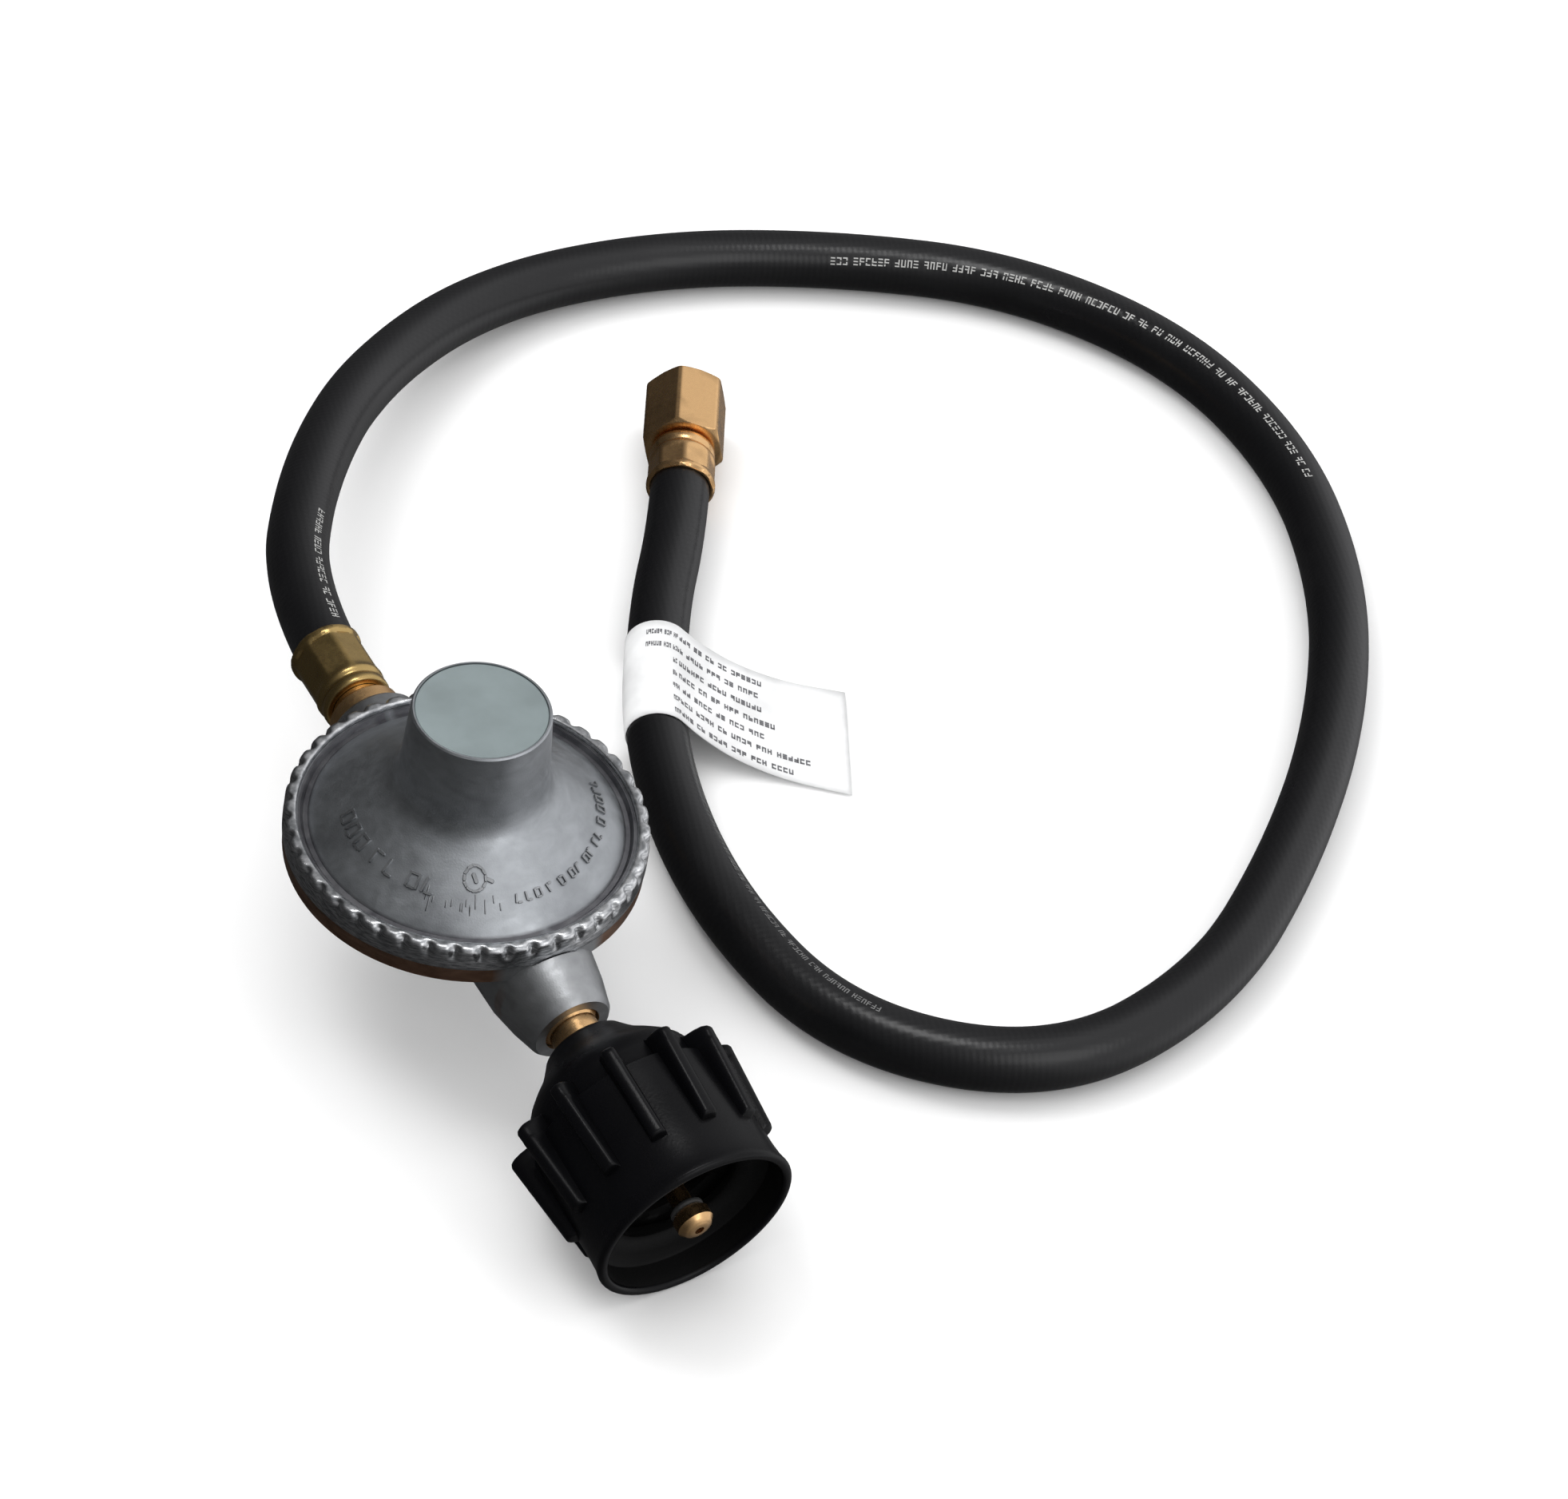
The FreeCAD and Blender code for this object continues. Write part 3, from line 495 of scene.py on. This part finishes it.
def flare_nut():
    heights = evenly(NUT_LOW + 0.12, NUT_LOW + 1.3, 9) + [10, 15, 19]
    heights += evenly(NUT_HIGH - 1.5, NUT_HIGH - 0.12, 10)
    outside = [(HEX_HALF - 0.3, NUT_LOW)] + [(HEX_HALF + 2, h) for h in heights]
    outside += [(HEX_HALF - 0.6, NUT_HIGH)]
    thread = []
    for k in range(7):
        h = 22.7 - 1.41 * k
        thread += [(7.25, h), (7.25, h - 0.2), (7.85, h - 0.62), (7.85, h - 0.78), (7.25, h - 1.2)]
    inside = [(8.2, NUT_HIGH), (7.95, NUT_HIGH - 0.25), (7.3, 23.4)] + thread
    inside += [(7.9, 12.8), (7.9, 8.4), (5.3, 6.6), (5.27, NUT_LOW + 0.3), (5.6, NUT_LOW)]
    along_flat = (0, 0.6, 1.2, 2.0, 3, 5, 8, 12, 16, 20, 25, 30, 35, 40, 44, 48, 52, 55, 57, 58, 58.8, 59.4)
    angles = [60 * k + a for k in range(6) for a in along_flat]
    place = FITTING @ Matrix.Rotation(math.radians(HEX_TURN), 4, "Z")
    nut = spun("flare_nut_hexagon", outside + inside, place, "brass", angles, hex_shape, 24)
    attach(nut, "flare_nut")
    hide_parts("flare_nut")
    return nut


swivel_nut = flare_nut()


# ---- hose -------------------------------------------------------------------------------------
def route_curve(name, bevel):
    """The hose's route as one smooth curve, with a round section of a radius of bevel."""
    curve = bpy.data.curves.new(name, "CURVE")
    curve.dimensions = "3D"
    spline = curve.splines.new("NURBS")
    spline.points.add(len(HOSE_ROUTE) - 1)
    for point, place in zip(spline.points, HOSE_ROUTE):
        point.co = (*place, 1)
    spline.order_u = 3
    spline.use_endpoint_u = True
    curve.resolution_u = 24
    curve.bevel_depth = bevel
    curve.bevel_resolution = 10
    piece = bpy.data.objects.new(name, curve)
    bpy.context.scene.collection.objects.link(piece)
    return piece


def route_points():
    """Points along the hose's own smooth line."""
    bare = route_curve("route", 0)
    bpy.context.view_layer.update()
    evaluated = bare.evaluated_get(bpy.context.evaluated_depsgraph_get())
    mesh = bpy.data.meshes.new_from_object(evaluated)
    points = [v.co.copy() for v in mesh.vertices]
    bpy.data.meshes.remove(mesh)
    bpy.data.objects.remove(bare)
    return points


LINE = route_points()
LINE_AT = [0.0]
for one, two in zip(LINE, LINE[1:]):
    LINE_AT.append(LINE_AT[-1] + (two - one).length)


def on_line(distance):
    """(point, direction) of the hose's line, a distance along it."""
    for index in range(1, len(LINE) - 1):
        if LINE_AT[index] >= distance:
            break
    one, two = LINE[index - 1], LINE[index]
    share = (distance - LINE_AT[index - 1]) / (LINE_AT[index] - LINE_AT[index - 1])
    return one.lerp(two, share), (two - one).normalized()


def on_hose(distance, turn, lift=0.0):
    """Point on the hose's skin: turn is in degrees from straight up, towards the hose's right."""
    point, along = on_line(distance)
    right = along.cross(Vector((0, 0, 1))).normalized()
    up = right.cross(along)
    out = up * math.cos(math.radians(turn)) + right * math.sin(math.radians(turn))
    return point + out * (HOSE_R + lift)


hose = route_curve("hose_rubber", HOSE_R)
hose.data.materials.append(MATERIALS["hose"])
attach(hose, "regulator")
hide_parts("hose")


# ---- printing on the hose ---------------------------------------------------------------------
PRINT_LIFT = 0.04 * MM


def print_on_hose(name, start, end, turns, seed, height, material):
    """Groups of short upright and level strokes along the hose, which spell nothing. They go round
    the hose from the first of two turns to the second."""
    random.seed(seed)
    points, faces = [], []
    wide = height * 0.62
    thin = height * 0.17
    strokes = {"left": (0, thin, -0.5, 0.5), "right": (wide - thin, wide, -0.5, 0.5),
               "top": (0, wide, 0.33, 0.5), "middle": (0, wide, -0.08, 0.08), "foot": (0, wide, -0.5, -0.33)}
    along = start
    while along < end:
        for _ in range(random.choice((2, 3, 4, 6))):
            turn = turns[0] + (turns[1] - turns[0]) * (along - start) / (end - start)
            for stroke in random.sample(sorted(strokes), 3):
                near, far, low, high = strokes[stroke]
                base = len(points)
                for k in range(3):
                    for level in (low, high):
                        lean = math.degrees(level * height / HOSE_R)
                        place = along + near + (far - near) * k / 2
                        points.append(on_hose(place, turn - lean, PRINT_LIFT))
                for k in (base, base + 2):
                    faces.append((k, k + 1, k + 3, k + 2))
            along += height * 0.85
        along += height * 0.6
    piece = add_mesh(name, points, faces, material)
    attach(piece, "regulator")
    return piece


PRINTS = [
    print_on_hose("hose_print_long", 0.2883, 0.450, (52, 2), 4, 2.0 * MM, "print"),
    print_on_hose("hose_print_start", 0.020, 0.0615, (24, 40), 7, 2.0 * MM, "print"),
    print_on_hose("hose_print_end", 0.721, 0.830, (0, 72), 9, 1.5 * MM, "worn_print"),
]


# ---- label ------------------------------------------------------------------------------------
LABEL_MIDDLE = 0.8430
LABEL_HALF = 15.8 * MM
LABEL_GAP = 0.25 * MM
LABEL_THICKNESS = 0.25 * MM
LABEL_LOWEST = 0.35 * MM
TAIL_STEP = 1.6 * MM


def label_section():
    """The wrap from under the hose over its top, and the tail from there down to the floor. Each is a
    list of (outwards, upwards) from the hose's axis, in metres."""
    radius = HOSE_R + LABEL_GAP
    angles = [math.radians(a) for a in range(262, 49, -6)]
    wrap = [(radius * math.cos(a), radius * math.sin(a)) for a in angles]
    x, z = wrap[-1]
    tail = []
    slope = 42.0
    for _ in range(26):
        x += TAIL_STEP * math.cos(math.radians(slope))
        z -= TAIL_STEP * math.sin(math.radians(slope))
        slope = max(2.0, slope - 1.95)
        tail.append((x, z))
    return wrap, tail


def label():
    """One sheet: the wrap follows the hose's bend, and the tail straightens out and leans back."""
    centre, along = on_line(LABEL_MIDDLE)
    right = along.cross(Vector((0, 0, 1))).normalized()
    wrap, tail = label_section()
    section = wrap + tail
    columns = 13
    points = []
    for index, (x, z) in enumerate(section):
        beyond = max(0, index - len(wrap))
        straightened = min(1.0, beyond / 8)
        for k in range(columns):
            v = (2 * k / (columns - 1) - 1) * LABEL_HALF
            longer = beyond * (0.19 - 0.02 * v / LABEL_HALF) * MM
            skew = beyond * (0.21 - 0.06 * v / LABEL_HALF) * MM
            bent, _ = on_line(LABEL_MIDDLE + v)
            base = bent.lerp(centre + along * v, straightened)
            point = base + right * (x + longer) + Vector((0, 0, z)) - along * skew
            point.z = max(point.z, LABEL_LOWEST)
            points.append(point)
    faces = []
    for i in range(len(section) - 1):
        for k in range(i * columns, i * columns + columns - 1):
            faces.append((k, k + 1, k + columns + 1, k + columns))
    sheet = add_mesh("label_film", points, faces, "label", 60)
    thicken = sheet.modifiers.new("thickness", "SOLIDIFY")
    thicken.thickness = LABEL_THICKNESS
    thicken.offset = 0
    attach(sheet, "regulator")
    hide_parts("label_tag")
    return sheet, points, columns, len(section)


label_sheet, LABEL_POINTS, LABEL_COLUMNS, LABEL_ROWS = label()


def on_label(row, column):
    """Point of the label at a fractional row and column of its mesh, just proud of the film."""
    i, k = int(row), int(column)
    i, k = min(i, LABEL_ROWS - 2), min(k, LABEL_COLUMNS - 2)
    s, t = row - i, column - k
    first = i * LABEL_COLUMNS + k
    a, b = LABEL_POINTS[first:first + 2]
    c, d = LABEL_POINTS[first + LABEL_COLUMNS:first + LABEL_COLUMNS + 2]
    point = a.lerp(b, t).lerp(c.lerp(d, t), s)
    normal = (b - a).cross(c - a).normalized()
    if normal.z < 0 and row > 20:
        normal = -normal
    return point + normal * 0.16 * MM


def label_ink():
    """Seven rows of short strokes in place of print: they spell nothing."""
    random.seed(11)
    points, faces = [], []
    strokes = {"left": (0, 0.2, 0, 0.62), "right": (0.42, 0.62, 0, 0.62), "top": (0, 0.62, 0, 0.2),
               "middle": (0, 0.62, 0.22, 0.4), "foot": (0, 0.62, 0.42, 0.62)}
    for line in range(7):
        column = 10.9 - line * 1.6
        row = 24.5 if line < 2 else 33.0
        end = random.uniform(47, 52)
        while row < end:
            for _ in range(random.choice((2, 3, 4, 6))):
                for stroke in random.sample(sorted(strokes), 3):
                    near, far, high, low = strokes[stroke]
                    base = len(points)
                    for x, y in ((near, high), (far, high), (far, low), (near, low)):
                        points.append(on_label(row + x, column - y))
                    faces.append(tuple(range(base, base + 4)))
                row += 0.8
            row += 0.55
    ink = add_mesh("label_print", points, faces, "ink")
    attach(ink, "regulator")
    return ink


label_bars = label_ink()


# ---- CAD nodes that stay ----------------------------------------------------------------------
FINISHES = {
    "lower_body": "cast_brown_band", "cover": "cast", "closing_cap": "cap", "vent_screen": "steel",
    "diaphragm": "rubber", "main_spring": "spring", "lever_pin": "steel", "orifice": "brass",
    "inlet_nipple": "brass", "check_spring": "spring", "probe": "brass", "nose_seal": "rubber",
    "thermal_bushing": "black", "outlet_barb": "brass", "end_stem": "brass", "relief_stem": "brass",
    "relief_nut": "brass", "diaphragm_plate": "steel", "relief_spring": "spring", "lever": "steel",
    "valve_holder": "brass", "seat_disc": "rubber", "upper_spring_seat": "steel", "adjusting_screw": "inner",
    "check_poppet": "brass",
}
for node_name, finish in FINISHES.items():
    node = NODES[node_name]
    node.data.materials.clear()
    node.data.materials.append(MATERIALS[finish])
    node.data.polygons.foreach_set("use_smooth", [True] * len(node.data.polygons))
    weld = node.modifiers.new("weld", "WELD")
    weld.merge_threshold = 0.002 * MM
    split = node.modifiers.new("edges", "EDGE_SPLIT")
    split.split_angle = math.radians(30)


# ---- raised marks on the cover ----------------------------------------------------------------
COVER_TREE = BVHTree.FromObject(NODES["cover"], bpy.context.evaluated_depsgraph_get())


def on_cover(reach, angle):
    """(point, normal) of the cover's outside, from the tower's axis and an angle in degrees."""
    x = TOWER.x + reach * math.cos(math.radians(angle))
    y = TOWER.y + reach * math.sin(math.radians(angle))
    point, normal, _, _ = COVER_TREE.ray_cast(Vector((x, y, 0.2)), Vector((0, 0, -1)))
    return point, normal


def raised_bar(points, faces, reach, angle, length, width, turn, height=0.45):
    """Adds a low rounded bar on the cover to a mesh's points and faces. turn is its angle from
    pointing away from the tower, and height is in millimetres."""
    centre, normal = on_cover(reach, angle)
    outward = Vector((math.cos(math.radians(angle)), math.sin(math.radians(angle)), 0))
    outward = (outward - normal * outward.dot(normal)).normalized()
    side = normal.cross(outward)
    long = outward * math.cos(math.radians(turn)) + side * math.sin(math.radians(turn))
    wide = normal.cross(long)
    base = len(points)
    rings = 10
    for level, (scale, lift) in enumerate(((1.0, -0.3), (0.92, 0.5), (0.7, 1.0))):
        for k in range(rings):
            a = 2 * math.pi * k / rings
            cap = (length - width) / 2 * (1 if math.cos(a) > 0 else -1)
            offset = long * (cap + width / 2 * scale * math.cos(a)) + wide * (width / 2 * scale * math.sin(a))
            points.append(centre + offset + normal * lift * height * MM)
    for level in range(2):
        for k in range(rings):
            a, b = base + level * rings + k, base + level * rings + (k + 1) % rings
            faces.append((a, b, b + rings, a + rings))
    faces.append(tuple(base + 2 * rings + k for k in range(rings)))


RING_REACH = 24.6
RING_ANGLE = 243.5
RING_R = 2.3
RING_BARS = 12


def cover_marks():
    """Rows of short raised strokes where a maker would cast words, a small ring and some scratches.
    Their darker tone is painted shade. They spell nothing."""
    random.seed(23)
    points, faces = [], []
    rows = ((27.3 * MM, 163, 224, 3.8 * MM, 0.8 * MM), (28.8 * MM, 262, 318, 2.2 * MM, 0.6 * MM),
            (29.0 * MM, 326, 352, 2.6 * MM, 0.6 * MM))
    for reach, start, end, height, width in rows:
        angle = start
        step = math.degrees(height * 0.30 / reach)
        while angle < end:
            shape = random.choice((1, 2, 3, 3))
            raised_bar(points, faces, reach, angle, height, width, random.choice((0, 0, 10, -10)))
            if shape in (1, 3):
                raised_bar(points, faces, reach + height * 0.36, angle + step, height * 0.55, width, 90)
            if shape in (2, 3):
                raised_bar(points, faces, reach - height * 0.33, angle + step, height * 0.55, width, 90)
            if shape == 3:
                raised_bar(points, faces, reach, angle + 2 * step, height, width, 0)
            angle += step * random.choice((3.4, 3.6, 5.0))
    for k in range(RING_BARS):
        turn = 2 * math.pi * k / RING_BARS
        reach = (RING_REACH + RING_R * math.cos(turn)) * MM
        angle = RING_ANGLE + math.degrees(RING_R / RING_REACH * math.sin(turn))
        raised_bar(points, faces, reach, angle, 1.6 * MM, 0.8 * MM, 90 + math.degrees(turn))
    raised_bar(points, faces, RING_REACH * MM, RING_ANGLE, 2.6 * MM, 1.1 * MM, 20)
    raised_bar(points, faces, (RING_REACH + 0.4) * MM, 251, 2.0 * MM, 1.1 * MM, 60)
    for _ in range(15):
        reach = random.uniform(28, 31) * MM
        angle = random.uniform(222, 262)
        length = random.uniform(1.6, 4.0) * MM
        raised_bar(points, faces, reach, angle, length, 0.35 * MM, 0, 0.1)
    marks = add_mesh("cover_marks", points, faces, "marks_painted_shade", 60)
    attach(marks, "regulator")


cover_marks()


# ---- floor, light and camera ------------------------------------------------------------------
def floor():
    """The white table under the object."""
    n = Nodes("table")
    paper = n.mix(n.spread(n.noise(3, 2), 0.3, 0.7), (0.93, 0.93, 0.93), (0.95, 0.95, 0.95))
    MATERIALS["table"] = n.finish(paper, 0.8, 0.0, None, 0.2)
    half = 4.0
    corners = [(-half, -half, 0), (half, -half, 0), (half, half, 0), (-half, half, 0)]
    table = add_mesh("table", corners, [(0, 1, 2, 3)], "table")
    table.visible_glossy = False


floor()

CAMERA_TARGET = Vector((0.1075, 0.0462, 0.0))
CAMERA_HEADING = 39.0
CAMERA_ELEVATION = 43.8
CAMERA_ROLL = 11.0
CAMERA_DISTANCE = 1.154


def camera():
    data = bpy.data.cameras.new("camera")
    data.lens = 110.04
    data.sensor_width = 36.0
    eye = bpy.data.objects.new("camera", data)
    turn = (Matrix.Rotation(math.radians(-CAMERA_HEADING), 4, "Z")
            @ Matrix.Rotation(math.radians(90 - CAMERA_ELEVATION), 4, "X")
            @ Matrix.Rotation(math.radians(CAMERA_ROLL), 4, "Z"))
    back = turn.to_3x3() @ Vector((0, 0, 1))
    eye.matrix_world = Matrix.Translation(CAMERA_TARGET + back * CAMERA_DISTANCE) @ turn
    bpy.context.scene.collection.objects.link(eye)
    bpy.context.scene.camera = eye


def area_light(name, place, size, power):
    """A round lamp aimed at the camera's target."""
    data = bpy.data.lights.new(name, "AREA")
    data.shape = "DISK"
    data.size = size
    data.energy = power
    lamp = bpy.data.objects.new(name, data)
    lamp.location = place
    lamp.rotation_euler = (CAMERA_TARGET - Vector(place)).to_track_quat("-Z", "Y").to_euler()
    bpy.context.scene.collection.objects.link(lamp)
    return lamp


def sky():
    """Studio surround: bright towards the front right, dark behind and on the left."""
    world = bpy.data.worlds.new("surround")
    bpy.context.scene.world = world
    world.use_nodes = True
    tree = world.node_tree
    place = tree.nodes.new("ShaderNodeTexCoord").outputs["Generated"]
    along = tree.nodes.new("ShaderNodeVectorMath")
    along.operation = "DOT_PRODUCT"
    along.inputs[1].default_value = Vector((0.75, -0.45, 0.45)).normalized()
    tree.links.new(place, along.inputs[0])
    spread = tree.nodes.new("ShaderNodeMapRange")
    spread.inputs["From Min"].default_value = -1
    tree.links.new(along.outputs["Value"], spread.inputs["Value"])
    shade = tree.nodes.new("ShaderNodeValToRGB")
    tree.links.new(spread.outputs[0], shade.inputs[0])
    stops = ((0.0, 0.04), (0.28, 0.05), (0.42, 0.10), (0.60, 0.22), (0.72, 0.42), (0.84, 0.95))
    while len(shade.color_ramp.elements) < len(stops):
        shade.color_ramp.elements.new(0.5)
    for element, (position, grey) in zip(shade.color_ramp.elements, stops):
        element.position = position
        element.color = (grey, grey, grey * 1.02, 1)
    tree.links.new(shade.outputs[0], tree.nodes["Background"].inputs[0])
    world.cycles_visibility.diffuse = False


def lights():
    """Broad lamps that light the surfaces without showing in them, and two that show only as glints."""
    broad = [area_light("key", (-0.5, 0.9, 1.7), 0.9, 8), area_light("overhead", (0.2, 0.2, 2.2), 2.6, 23)]
    for number in range(6):
        around = math.radians(60 * number)
        place = (0.11 + 1.6 * math.cos(around), 0.05 + 1.6 * math.sin(around), 1.25)
        broad.append(area_light("fill", place, 1.6, 11.5))
    for lamp in broad:
        lamp.visible_glossy = False
    for lamp in (area_light("softbox", (0.29, -1.15, 1.03), 1.0, 3),
                 area_light("strip", (0.10, 0.10, 1.7), 0.6, 6)):
        lamp.visible_diffuse = False


camera()
sky()
lights()
bpy.context.scene.view_settings.view_transform = "Standard"
